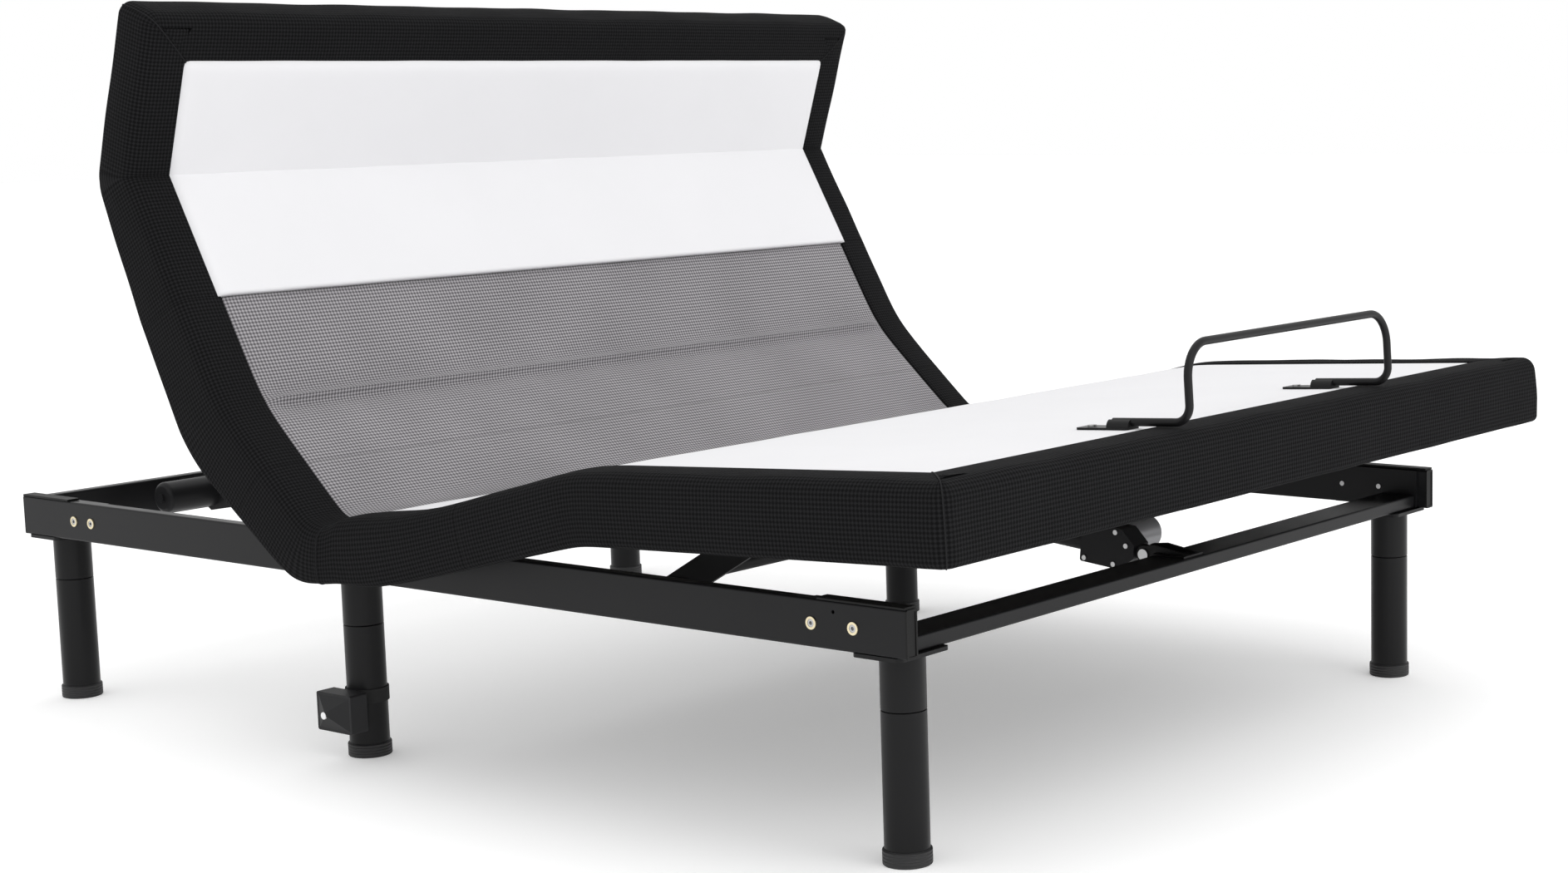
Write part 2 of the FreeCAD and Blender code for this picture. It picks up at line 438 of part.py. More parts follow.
foot_info = actuator("foot_actuator", FOOT_ACT_X, FOOT_ACT, lug, 190, 1, 84, 25, 70, True)
head_tip = add(HIP, rot_yz(HEAD_LUG, A_LOWER))
head_info = actuator("head_actuator", HEAD_ACT_X, HEAD_ACT, head_tip, 400, -1, 92, 25, 45, False)

# pillow actuator: compact tube on the upper back section
ptip = add((L_UPPER, 0), rot_yz(PIL_LUG, A_PILLOW - A_UPPER))
pa = degrees(atan2(ptip[1] - PIL_REAR[1], ptip[0] - PIL_REAR[0]))
pL = hypot(ptip[1] - PIL_REAR[1], ptip[0] - PIL_REAR[0])
def pput(s):
    s = s.copy()
    s.rotate(V(0, 0, 0), V(1, 0, 0), pa)
    s.translate(V(0, PIL_REAR[0], PIL_REAR[1]))
    return upper.put(s)
ph = fuse([rbox(-13, 13, 14, 80, -17, 17, 4, "y"), cyl(10, 16, (-8, 0, 0), (1, 0, 0)), box(-8, 8, 0, 16, -8, 8),
           cyl(12, 76, (0, 78, 0), (0, 1, 0))]).cut(cyl(6.6, 100, (0, 72, 0), (0, 1, 0))).cut(cyl(HOLE_R, 20, (-10, 0, 0), (1, 0, 0)))
out("pillow_actuator", pput(ph))
out("pillow_actuator_rod", pput(fuse([cyl(6, pL - 12 - 110, (0, 110, 0), (0, 1, 0)), cyl(9, 16, (-8, pL, 0), (1, 0, 0)), box(-8, 8, pL - 22, pL, -7, 7)]).cut(
    cyl(5.6, 20, (-10, pL, 0), (1, 0, 0)))))

# brackets of the two main actuators on the cross rails
def yoke(x, rear, base, z_base):
    """Two arched side plates from the pivot pin down to the cross rail."""
    items = [z_base]
    for x0 in (x - 16, x + 11):
        pl = fuse([cyl(12, 5, (x0,) + rear, (1, 0, 0)), prism_x(base, x0, x0 + 5)])
        items.append(pl.cut(cyl(OWN_R, 8, (x0 - 1,) + rear, (1, 0, 0))))
    return fuse(items)
fy, fz = FOOT_ACT
hy, hz = HEAD_ACT
out("actuator_brackets", group([
    yoke(FOOT_ACT_X, FOOT_ACT,
         [(fy + 3, fz + 11.5), (fy - 20, fz + 14), (fy - 50, fz + 9), (fy - 72, RAIL_Z + 23), (fy - 72, RAIL_Z + 20), (fy - 17, RAIL_Z + 20), (fy - 14, fz - 10), (fy + 3, fz - 11.5)],
         box(FOOT_ACT_X - 24, FOOT_ACT_X + 24, FOOT_RAIL_Y[0] + 5, FOOT_RAIL_Y[1] - 2, RAIL_Z + 20, RAIL_Z + 23)),
    yoke(HEAD_ACT_X, HEAD_ACT,
         [(hy - 3, hz - 11.5), (hy - 3, hz + 11.5), (HEAD_RAIL_Y[0], hz + 22), (HEAD_RAIL_Y[0], hz - 22)],
         box(HEAD_ACT_X - 24, HEAD_ACT_X + 24, HEAD_RAIL_Y[0] - 4, HEAD_RAIL_Y[0], hz - 26, hz + 26))]))

# pins held in the fixed brackets: seat section hinges and the rear eyes of the two main actuators
pins = []
for y in (THIGH_Y, HIP_Y):
    pins += both(fuse([cyl(PIN_R, 14.2, (587, y, AXIS_Z), (1, 0, 0)), cyl(8, 3, (601, y, AXIS_Z), (1, 0, 0))]))
for x, (py, pz) in ((FOOT_ACT_X, FOOT_ACT), (HEAD_ACT_X, HEAD_ACT)):
    pins.append(fuse([cyl(PIN_R, 36, (x - 18, py, pz), (1, 0, 0)), cyl(8, 3, (x - 19, py, pz), (1, 0, 0)), cyl(8, 3, (x + 16, py, pz), (1, 0, 0))]))
out("pivot_pins", group(pins))

# ================================================================ under-bed light, strapped to the near middle leg
lx, ly = -LEG_X, LEG_Y[1]
hs = rbox(lx - LEG_R - 32, lx - LEG_R - 3, ly - 37, ly + 37, 44, 100, 3, "x")
def ring4(x, c, a, b):
    return Part.makePolygon([V(x, ly + c + i * a, 72 + j * b) for i, j in ((-1, -1), (1, -1), (1, 1), (-1, 1), (-1, -1))])
pyr = Part.makeLoft([ring4(lx - LEG_R - 32, 0, 33, 24), ring4(lx - LEG_R - 43, 6, 2, 3)], True, True)
light = fuse([hs, pyr])
out("light_housing", light)
out("light_lens", cyl(5.2, 9.0, (lx - LEG_R - 43.5, ly + 10, 69), (1, 0, 0)).cut(light))
st = cyl(LEG_R + 2.4, 20, (lx, ly, 80)).fuse(box(lx - LEG_R - 3.0, lx - LEG_R - 1.0, ly - 12, ly + 12, 80, 100)).cut(cyl(LEG_R + 0.06, 22, (lx, ly, 79)))
out("light_strap", st.removeSplitter())

print("nodes", len(written))
print("foot actuator angle %.3f length %.2f" % foot_info)
print("head actuator angle %.3f length %.2f" % head_info)
print("pillow actuator angle in section %.3f length %.2f" % (pa, pL))
print("HIP", HIP, "THIGH", THIGH, "LUMBAR", LUMBAR, "PILLOW", PILLOW, "KNEE", KNEE, "lug", lug, "head_tip", head_tip, "roller", rp, "cross", cp)
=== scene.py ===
import json
import math
import bpy
import numpy as np
from mathutils import Matrix, Vector


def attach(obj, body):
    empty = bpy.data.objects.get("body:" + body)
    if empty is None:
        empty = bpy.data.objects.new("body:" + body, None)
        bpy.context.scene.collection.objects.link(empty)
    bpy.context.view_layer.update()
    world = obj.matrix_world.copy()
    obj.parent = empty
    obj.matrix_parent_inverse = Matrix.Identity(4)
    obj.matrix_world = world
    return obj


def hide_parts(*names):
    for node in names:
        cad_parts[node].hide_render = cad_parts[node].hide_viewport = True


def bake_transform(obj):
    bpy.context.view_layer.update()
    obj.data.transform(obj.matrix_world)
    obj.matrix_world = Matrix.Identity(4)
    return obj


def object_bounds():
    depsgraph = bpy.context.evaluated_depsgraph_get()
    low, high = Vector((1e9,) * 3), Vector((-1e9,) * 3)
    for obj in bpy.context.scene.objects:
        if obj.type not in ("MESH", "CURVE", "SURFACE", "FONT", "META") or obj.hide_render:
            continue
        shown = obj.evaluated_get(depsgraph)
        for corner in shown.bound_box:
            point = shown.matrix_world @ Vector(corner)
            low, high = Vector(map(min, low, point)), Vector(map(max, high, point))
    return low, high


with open("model.json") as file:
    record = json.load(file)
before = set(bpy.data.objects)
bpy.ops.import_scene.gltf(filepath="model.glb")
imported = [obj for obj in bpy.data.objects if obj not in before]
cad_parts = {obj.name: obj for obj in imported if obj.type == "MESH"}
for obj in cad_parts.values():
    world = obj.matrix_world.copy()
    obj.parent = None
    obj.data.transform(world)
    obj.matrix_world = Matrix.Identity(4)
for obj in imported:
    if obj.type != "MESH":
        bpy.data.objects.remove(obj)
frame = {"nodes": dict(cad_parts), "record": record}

[list(map(float, c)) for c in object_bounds()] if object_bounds() else None

# ------------------------------------------------------------------ shape of the deck, in millimetres
DY = 0.278
HW, INSET = 755.5, 75.0
TOP, PAD0, BOARD0 = 24.0, 12.0, -3.0
AXIS_Z, HIP_Y, THIGH_Y = 333.0, 157.3, 52.9
LEN = {"foot": 596.0, "thigh": 437.6, "seat": HIP_Y - THIGH_Y, "lower": 242.0, "upper": 383.0, "pillow": 249.0}
ANG = {"foot": -2.95, "thigh": -14.9, "seat": 0.0, "lower": 42.2, "upper": 60.8, "pillow": 108.0}
ORDER = ["foot", "thigh", "seat", "lower", "upper", "pillow"]
HINGES = ["knee", "thigh", "hip", "lumbar", "pillow"]


def turn(v, a):
    a = math.radians(a)
    return np.array([v[0] * math.cos(a) - v[1] * math.sin(a), v[0] * math.sin(a) + v[1] * math.cos(a)])


# hinge axes in the Y-Z plane, and the distance of each along the deck from its foot end
H = {"hip": np.array([HIP_Y, AXIS_Z]), "thigh": np.array([THIGH_Y, AXIS_Z])}
H["lumbar"] = H["hip"] + turn((LEN["lower"], 0), ANG["lower"])
H["pillow"] = H["lumbar"] + turn((LEN["upper"], 0), ANG["upper"])
H["knee"] = H["thigh"] + turn((-LEN["thigh"], 0), ANG["thigh"])
G, g = {}, 0.0
for sec, hinge in zip(ORDER, HINGES + [None]):
    g += LEN[sec]
    if hinge:
        G[hinge] = g
G_END = g
START = H["knee"] + turn((-LEN["foot"], 0), ANG["foot"])
FAN = {"knee": 14.0, "thigh": 18.0, "hip": 46.0, "lumbar": 22.0, "pillow": 52.0}   # length given to the turn at each fold
EASE = {"knee": 30.0, "thigh": 70.0, "hip": 26.0, "lumbar": 30.0, "pillow": 9.0}  # how softly the cover turns there
BRIDGE = {"knee": 0.0, "thigh": 13.0, "hip": 5.0, "lumbar": 2.5, "pillow": 0.5}   # how far it stands off the fold

# path coordinate t: distance along the deck, with the turns laid out between the sections
T0 = {}
t = 0.0
SEG = []
for i, sec in enumerate(ORDER):
    SEG.append(("flat", sec, t, t + LEN[sec]))
    t += LEN[sec]
    if i < 5:
        SEG.append(("fan", HINGES[i], t, t + FAN[HINGES[i]]))
        T0[HINGES[i]] = t + FAN[HINGES[i]] / 2
        t += FAN[HINGES[i]]
T_END = t
START_OF = {s[1]: s[2] for s in SEG if s[0] == "flat"}


def t_at(sec, s):
    """Path coordinate of a point s along a section from the hinge it is named from (feet and thighs run toward the foot end)."""
    if sec in ("foot", "thigh"):
        return START_OF[sec] + LEN[sec] - s
    return START_OF[sec] + s


ORIGIN = {"foot": START, "thigh": H["knee"], "seat": H["thigh"], "lower": H["hip"], "upper": H["lumbar"], "pillow": H["pillow"]}
DIR = {s: turn((1, 0), ANG[s]) for s in ORDER}
NRM = {s: turn((0, 1), ANG[s]) for s in ORDER}
NEXT = {h: (ORDER[i], ORDER[i + 1]) for i, h in enumerate(HINGES)}


def raw(t, w):
    """Point (y, z) of the deck's side profile at path coordinate t and height w above the hinge line."""
    for kind, name, a, b in SEG:
        if t <= b or name == "pillow" and kind == "flat":
            break
    if kind == "fan":
        before, after = NEXT[name]
        delta = ANG[after] - ANG[before]
        if w * delta > 0:
            mid = (ANG[before] + ANG[after]) / 2
            return H[name] + turn((0, 1), mid) * w / math.cos(math.radians(delta / 2))
        f = (t - a) / (b - a)
        return H[name] + turn((0, 1), ANG[before] + f * delta) * w
    s = t - a
    i = ORDER.index(name)
    for hinge, dist, forward in ((HINGES[i - 1] if i else None, s, 1), (HINGES[i] if i < 5 else None, LEN[name] - s, -1)):
        if hinge:
            before, after = NEXT[hinge]
            delta = ANG[after] - ANG[before]
            if w * delta > 0 and dist < abs(w) * math.tan(math.radians(abs(delta) / 2)):
                mid = (ANG[before] + ANG[after]) / 2
                return H[hinge] + turn((0, 1), mid) * w / math.cos(math.radians(delta / 2))
    return ORIGIN[name] + DIR[name] * s + NRM[name] * w


STEP = 3.0
TT = np.arange(0, T_END + STEP, STEP)
W_ROWS = np.array([-94.0, -86.0, -78.0, -70.0, -64.0, -58.0, -50.0, -40.0, -28.0, -14.0, 0.0, 12.0, 24.0, 34.0])


def smooth_rows():
    rows = np.array([[raw(t, w) for t in TT] for w in W_ROWS])            # (W, T, 2)
    out = rows.copy()
    for h in HINGES:
        sig = EASE[h]
        reach = 3.2 * sig + 12
        near = np.abs(TT - T0[h]) < reach + FAN[h] / 2
        idx = np.where(near)[0]
        k = np.arange(-int(3 * sig / STEP), int(3 * sig / STEP) + 1)
        ker = np.exp(-0.5 * (k * STEP / sig) ** 2)
        ker /= ker.sum()
        fade = np.clip((np.abs(TT - T0[h]) - FAN[h] / 2 - 0.8 * sig) / (2.0 * sig), 0, 1)
        fade = fade * fade * (3 - 2 * fade)
        for wi in range(len(W_ROWS)):
            for c in (0, 1):
                padded = np.pad(rows[wi, :, c], len(k), mode="reflect", reflect_type="odd")
                sm = np.convolve(padded, ker, mode="same")[len(k):-len(k)]
                out[wi, idx, c] = (sm * (1 - fade) + out[wi, :, c] * fade)[idx]
        before, after = NEXT[h]
        mid = (ANG[before] + ANG[after]) / 2
        n = turn((0, 1), mid)
        for wi, w in enumerate(W_ROWS):
            lift = BRIDGE[h] * np.clip((w + 40) / 64, 0, 1) * np.exp(-0.5 * ((TT - T0[h]) / (EASE[h] * 1.1)) ** 2)
            out[wi] += lift[:, None] * n[None, :]
    return out


ROWS = smooth_rows()


def yz(t, w):
    """Smoothed profile point for arrays of t and w."""
    t = np.clip(np.asarray(t, float), 0, TT[-1])
    w = np.asarray(w, float)
    t, w = np.broadcast_arrays(t, w)
    ti = np.clip((t / STEP).astype(int), 0, len(TT) - 2)
    tf = t / STEP - ti
    wi = np.clip(np.searchsorted(W_ROWS, w) - 1, 0, len(W_ROWS) - 2)
    wf = (w - W_ROWS[wi]) / (W_ROWS[wi + 1] - W_ROWS[wi])
    a = ROWS[wi, ti] * (1 - tf)[..., None] + ROWS[wi, ti + 1] * tf[..., None]
    b = ROWS[wi + 1, ti] * (1 - tf)[..., None] + ROWS[wi + 1, ti + 1] * tf[..., None]
    return a * (1 - wf)[..., None] + b * wf[..., None]


DEEP_T = [(0, -75), (T0["knee"], -69), (T0["thigh"] - 30, -58), (t_at("seat", 20), -54), (t_at("seat", 84), -54), (T0["hip"] + 10, -62), (T0["lumbar"] - 40, -84), (T0["lumbar"] + 30, -86), (t_at("upper", 190), -76), (T0["pillow"], -50), (T_END, -50)]
DEEP_END = {"foot": -75.0, "pillow": -50.0}


def deep(t):
    return np.interp(t, [a for a, b in DEEP_T], [b for a, b in DEEP_T])


def wave(a, b, seed):
    """Gentle, repeatable unevenness, about -1 to 1."""
    return (np.sin(a * 0.021 + seed) * np.sin(b * 0.017 + 2.1 * seed) + 0.5 * np.sin(a * 0.047 + 1.7 * seed + b * 0.013) + 0.3 * np.sin(b * 0.061 - a * 0.033 + seed * 3)) / 1.6


# ------------------------------------------------------------------ materials
def material(name):
    m = bpy.data.materials.new(name)
    m.use_nodes = True
    nt = m.node_tree
    nt.nodes.clear()
    o = nt.nodes.new("ShaderNodeOutputMaterial")
    b = nt.nodes.new("ShaderNodeBsdfPrincipled")
    nt.links.new(b.outputs["BSDF"], o.inputs["Surface"])
    return m, nt, b


def node(nt, kind, **kw):
    n = nt.nodes.new(kind)
    for k, v in kw.items():
        setattr(n, k, v)
    return n


def math_node(nt, op, a, b=None):
    n = node(nt, "ShaderNodeMath", operation=op)
    for i, v in enumerate((a, b)):
        if v is None:
            continue
        if isinstance(v, (int, float)):
            n.inputs[i].default_value = v
        else:
            nt.links.new(v, n.inputs[i])
    return n.outputs[0]


def mix_rgb(nt, fac, c1, c2):
    n = node(nt, "ShaderNodeMix", data_type="RGBA")
    if isinstance(fac, (int, float)):
        n.inputs["Factor"].default_value = fac
    else:
        nt.links.new(fac, n.inputs["Factor"])
    for k, v in (("A", c1), ("B", c2)):
        s = [i for i in n.inputs if i.name == k and i.type == "RGBA"][0]
        if isinstance(v, tuple):
            s.default_value = v
        else:
            nt.links.new(v, s)
    return [o for o in n.outputs if o.type == "RGBA"][0]


def mesh_fabric(name, low, high, pitch, bump, rough=0.78, sheen=0.25):
    """Open spacer mesh: a diamond lattice of raised cells, in metres of cloth. Its colour is lighter on the raised
    cells and darker in the openings: the cell pattern, partly painted highlight on the cells and painted shade in the
    openings.
    """
    m, nt, b = material(name)
    uv = node(nt, "ShaderNodeUVMap")
    sep = node(nt, "ShaderNodeSeparateXYZ")
    nt.links.new(uv.outputs[0], sep.inputs[0])
    k = 2 * math.pi / pitch
    a = math_node(nt, "MULTIPLY", sep.outputs[0], k)
    c = math_node(nt, "MULTIPLY", sep.outputs[1], k)
    p = math_node(nt, "COSINE", a)
    q = math_node(nt, "COSINE", c)
    lat = math_node(nt, "ADD", math_node(nt, "MULTIPLY", p, 0.25), math_node(nt, "ADD", math_node(nt, "MULTIPLY", q, 0.25), 0.5))
    sharp = math_node(nt, "SMOOTH_MAX", math_node(nt, "SUBTRACT", math_node(nt, "MULTIPLY", lat, 2.0), 0.55), 0.0)
    sharp = math_node(nt, "MINIMUM", sharp, 1.0)
    fine = node(nt, "ShaderNodeTexNoise")
    fine.inputs["Scale"].default_value = 900
    fine.inputs["Detail"].default_value = 2
    nt.links.new(uv.outputs[0], fine.inputs["Vector"])
    big = node(nt, "ShaderNodeTexNoise")
    big.inputs["Scale"].default_value = 7
    nt.links.new(uv.outputs[0], big.inputs["Vector"])
    # mix factor: the lattice pattern, carrying painted highlight on the raised cells and painted shade in the openings,
    # plus fine noise
    lattice_and_painted_light = math_node(nt, "ADD", math_node(nt, "MULTIPLY", sharp, 0.8), math_node(nt, "MULTIPLY", fine.outputs["Fac"], 0.2))
    col = mix_rgb(nt, lattice_and_painted_light, low, high)
    dim = math_node(nt, "ADD", math_node(nt, "MULTIPLY", big.outputs["Fac"], 0.25), 0.87)
    hsv = node(nt, "ShaderNodeHueSaturation")
    nt.links.new(col, hsv.inputs["Color"])
    nt.links.new(dim, hsv.inputs["Value"])
    nt.links.new(hsv.outputs[0], b.inputs["Base Color"])
    bp = node(nt, "ShaderNodeBump")
    bp.inputs["Strength"].default_value = bump
    bp.inputs["Distance"].default_value = 0.0012
    nt.links.new(math_node(nt, "ADD", sharp, math_node(nt, "MULTIPLY", fine.outputs["Fac"], 0.3)), bp.inputs["Height"])
    nt.links.new(bp.outputs[0], b.inputs["Normal"])
    b.inputs["Roughness"].default_value = rough
    b.inputs["Sheen Weight"].default_value = sheen
    b.inputs["Sheen Roughness"].default_value = 0.5
    b.inputs["Specular IOR Level"].default_value = 0.08
    return m


def plain_fabric(name, colour, rough=0.85):
    """Fine plain-woven ticking with slight slack."""
    m, nt, b = material(name)
    uv = node(nt, "ShaderNodeUVMap")
    sep = node(nt, "ShaderNodeSeparateXYZ")
    nt.links.new(uv.outputs[0], sep.inputs[0])
    k = 2 * math.pi / 0.0016
    w1 = math_node(nt, "SINE", math_node(nt, "MULTIPLY", sep.outputs[0], k))
    w2 = math_node(nt, "SINE", math_node(nt, "MULTIPLY", sep.outputs[1], k))
    weave = math_node(nt, "MULTIPLY", w1, w2)
    big = node(nt, "ShaderNodeTexNoise")
    big.inputs["Scale"].default_value = 5.0
    big.inputs["Detail"].default_value = 3
    nt.links.new(uv.outputs[0], big.inputs["Vector"])
    mid = node(nt, "ShaderNodeTexNoise")
    mid.inputs["Scale"].default_value = 260
    nt.links.new(uv.outputs[0], mid.inputs["Vector"])
    low = tuple(c * 0.955 for c in colour[:3]) + (1,)
    nt.links.new(mix_rgb(nt, big.outputs["Fac"], low, colour), b.inputs["Base Color"])
    h = math_node(nt, "ADD", math_node(nt, "MULTIPLY", weave, 0.12), math_node(nt, "MULTIPLY", mid.outputs["Fac"], 0.35))
    bp = node(nt, "ShaderNodeBump")
    bp.inputs["Strength"].default_value = 0.25
    bp.inputs["Distance"].default_value = 0.0006
    nt.links.new(h, bp.inputs["Height"])
    bp2 = node(nt, "ShaderNodeBump")
    bp2.inputs["Strength"].default_value = 0.3
    bp2.inputs["Distance"].default_value = 0.006
    nt.links.new(big.outputs["Fac"], bp2.inputs["Height"])
    nt.links.new(bp.outputs[0], bp2.inputs["Normal"])
    nt.links.new(bp2.outputs[0], b.inputs["Normal"])
    b.inputs["Roughness"].default_value = rough
    b.inputs["Sheen Weight"].default_value = 0.15
    b.inputs["Specular IOR Level"].default_value = 0.2
    return m


def paint(name, colour, rough=0.42, metal=0.0, speckle=0.25, grain=600.0, coat=0.0):
    """Powder coat or moulded plastic: slight orange peel, faint dust and wear."""
    m, nt, b = material(name)
    co = node(nt, "ShaderNodeTexCoord")
    fine = node(nt, "ShaderNodeTexNoise")
    fine.inputs["Scale"].default_value = grain
    fine.inputs["Detail"].default_value = 2
    nt.links.new(co.outputs["Object"], fine.inputs["Vector"])
    wide = node(nt, "ShaderNodeTexNoise")
    wide.inputs["Scale"].default_value = 9
    wide.inputs["Detail"].default_value = 4
    nt.links.new(co.outputs["Object"], wide.inputs["Vector"])
    low = tuple(c * 0.82 for c in colour[:3]) + (1,)
    high = tuple(min(1, c * 1.15) for c in colour[:3]) + (1,)
    nt.links.new(mix_rgb(nt, wide.outputs["Fac"], low, high), b.inputs["Base Color"])
    r = math_node(nt, "ADD", math_node(nt, "MULTIPLY", wide.outputs["Fac"], 0.16), rough - 0.08)
    nt.links.new(r, b.inputs["Roughness"])
    bp = node(nt, "ShaderNodeBump")
    bp.inputs["Strength"].default_value = speckle
    bp.inputs["Distance"].default_value = 0.0003
    nt.links.new(fine.outputs["Fac"], bp.inputs["Height"])
    nt.links.new(bp.outputs[0], b.inputs["Normal"])
    b.inputs["Metallic"].default_value = metal
    b.inputs["Coat Weight"].default_value = coat
    if metal < 0.5:
        b.inputs["Specular IOR Level"].default_value = 0.16
    return m


def glide_rubber(name):
    m, nt, b = material(name)
    co = node(nt, "ShaderNodeTexCoord")
    sep = node(nt, "ShaderNodeSeparateXYZ")
    nt.links.new(co.outputs["Object"], sep.inputs[0])
    rib = math_node(nt, "SINE", math_node(nt, "MULTIPLY", sep.outputs[2], 2 * math.pi / 0.0042))
    n = node(nt, "ShaderNodeTexNoise")
    n.inputs["Scale"].default_value = 300
    nt.links.new(co.outputs["Object"], n.inputs["Vector"])
    bp = node(nt, "ShaderNodeBump")
    bp.inputs["Strength"].default_value = 0.8
    bp.inputs["Distance"].default_value = 0.0015
    nt.links.new(math_node(nt, "ADD", rib, math_node(nt, "MULTIPLY", n.outputs["Fac"], 0.2)), bp.inputs["Height"])
    nt.links.new(bp.outputs[0], b.inputs["Normal"])
    b.inputs["Base Color"].default_value = (0.022, 0.022, 0.023, 1)
    b.inputs["Roughness"].default_value = 0.62
    return m


MAT = {
    # the low and high mesh colours are the lattice pattern plus painted shade in the openings and painted highlight on
    # the raised cells
    "black_mesh": mesh_fabric("black_mesh", (0.0022, 0.0022, 0.0024, 1), (0.0145, 0.0145, 0.0155, 1), 0.0056, 0.8, rough=0.9, sheen=0.0),
    "grey_mesh": mesh_fabric("grey_mesh", (0.05, 0.047, 0.052, 1), (0.40, 0.385, 0.402, 1), 0.0056, 0.8),
    "white_ticking": plain_fabric("white_ticking", (0.745, 0.742, 0.757, 1)),
    "seam_thread": paint("seam_thread", (0.012, 0.012, 0.013, 1), rough=0.8, speckle=0.6, grain=1500),
    "rail_paint": paint("rail_paint", (0.010, 0.010, 0.0108, 1), rough=0.36, speckle=0.18),
    "leg_paint": paint("leg_paint", (0.0075, 0.0075, 0.008, 1), rough=0.34, speckle=0.15),
    "frame_paint": paint("frame_paint", (0.009, 0.009, 0.0095, 1), rough=0.45),
    "cap_plastic": paint("cap_plastic", (0.008, 0.008, 0.008, 1), rough=0.5, grain=900),
    "ferrule_brass": paint("ferrule_brass", (0.75, 0.66, 0.45, 1), rough=0.32, metal=0.85, speckle=0.1),
    "bolt_steel": paint("bolt_steel", (0.45, 0.45, 0.45, 1), rough=0.3, metal=1.0, speckle=0.1),
    "rod_steel": paint("rod_steel", (0.62, 0.62, 0.63, 1), rough=0.22, metal=1.0, speckle=0.08),
    "board_wood": paint("board_wood", (0.035, 0.032, 0.03, 1), rough=0.75, speckle=0.5, grain=120),
    "actuator_plastic": paint("actuator_plastic", (0.012, 0.012, 0.013, 1), rough=0.5, speckle=0.4, grain=900),
    "motor_grey": paint("motor_grey", (0.26, 0.26, 0.27, 1), rough=0.4, metal=0.5),
    "motor_black": paint("motor_black", (0.014, 0.014, 0.015, 1), rough=0.42),
    "box_plastic": paint("box_plastic", (0.018, 0.018, 0.019, 1), rough=0.55, speckle=0.4, grain=900),
    "light_plastic": paint("light_plastic", (0.018, 0.018, 0.019, 1), rough=0.5, speckle=0.35, grain=900),
    "lens_plastic": paint("lens_plastic", (0.9, 0.9, 0.9, 1), rough=0.25, speckle=0.02),
    "strap_fabric": paint("strap_fabric", (0.02, 0.02, 0.02, 1), rough=0.8, speckle=0.7, grain=1200),
    "roller_plastic": paint("roller_plastic", (0.03, 0.03, 0.03, 1), rough=0.5),
    "stop_paint": paint("stop_paint", (0.01, 0.01, 0.0105, 1), rough=0.38, speckle=0.15),
    "glide_rubber": glide_rubber("glide_rubber"),
}
SLOT_OF = {s["node"]: s["material_slot"] for s in frame["record"]["subparts"]}
for n, o in frame["nodes"].items():
    mat = MAT.get(SLOT_OF[n])
    if mat:
        o.data.materials.clear()
        o.data.materials.append(mat)


# ------------------------------------------------------------------ cover pieces
def grid_mesh(name, pts, uvs, mat, close_u=False, caps=(False, False)):
    """pts: (rows, columns, 3) in millimetres. Columns may close into a loop; caps shut the first and last rows."""
    nr, nc = pts.shape[:2]
    verts = pts.reshape(-1, 3) / 1000.0
    verts[:, 1] += DY / 1000.0
    faces, fuv = [], []
    cols = nc if close_u else nc - 1
    for i in range(nr - 1):
        for j in range(cols):
            k = (j + 1) % nc
            faces.append((i * nc + j, i * nc + k, (i + 1) * nc + k, (i + 1) * nc + j))
            u1 = uvs[i, k] if k else uvs[i, j] + (uvs[i, j] - uvs[i, j - 1])
            u2 = uvs[i + 1, k] if k else uvs[i + 1, j] + (uvs[i + 1, j] - uvs[i + 1, j - 1])
            fuv.append((uvs[i, j], u1, u2, uvs[i + 1, j]))
    for end, cap in zip((0, nr - 1), caps):
        if cap:
            loop = [end * nc + j for j in range(nc)]
            faces.append(tuple(loop if end else reversed(loop)))
            fuv.append(tuple(uvs[end, j] for j in (range(nc) if end else reversed(range(nc)))))
    me = bpy.data.meshes.new(name)
    me.from_pydata([tuple(v) for v in verts], [], faces)
    layer = me.uv_layers.new(name="UVMap")
    flat = []
    for f in fuv:
        for u in f:
            flat += [float(u[0]) / 1000.0, float(u[1]) / 1000.0]
    layer.data.foreach_set("uv", flat)
    for p in me.polygons:
        p.use_smooth = len(p.vertices) == 4
    me.materials.append(mat)
    o = bpy.data.objects.new(name, me)
    bpy.context.scene.collection.objects.link(o)
    import bmesh
    bm = bmesh.new()
    bm.from_mesh(me)
    bmesh.ops.recalc_face_normals(bm, faces=bm.faces)
    bm.to_mesh(me)
    bm.free()
    return o


def cross_loop(dp):
    """Closed outline of the padded edge: (inward distance u, height w), starting at the inner top corner."""
    rt, rb = 22.0, 10.0
    top = TOP + 1.2
    p = [(INSET, TOP - 3.0), (INSET - 0.6, TOP - 0.6), (INSET - 2.2, top - 0.1)]
    for u in np.linspace(INSET - 8, rt, 7):
        x = (u - rt) / (INSET - rt)
        p.append((u, top + 1.6 * math.sin(math.pi * x) ** 0.8 if 0 < x < 1 else top))
    for a in np.linspace(90, 180, 9)[1:]:
        p.append((rt + rt * math.cos(math.radians(a)), top - rt + rt * math.sin(math.radians(a))))
    z0, z1 = top - rt, dp + rb
    for f in (0.2, 0.4, 0.6, 0.8):
        p.append((-1.6 * math.sin(math.pi * f), z0 + (z1 - z0) * f))
    for a in np.linspace(180, 265, 7):
        p.append((rb + rb * math.cos(math.radians(a)), dp + rb + rb * math.sin(math.radians(a))))
    p += [(24.0, dp + 0.8), (27.0, dp + 3.0), (27.7, dp + 8.0), (27.7, -20.0), (27.7, PAD0 + 0.2), (50.0, PAD0 + 0.2), (INSET, PAD0 + 0.2)]
    return p


RC = 20.0     # plan radius of the outer corners


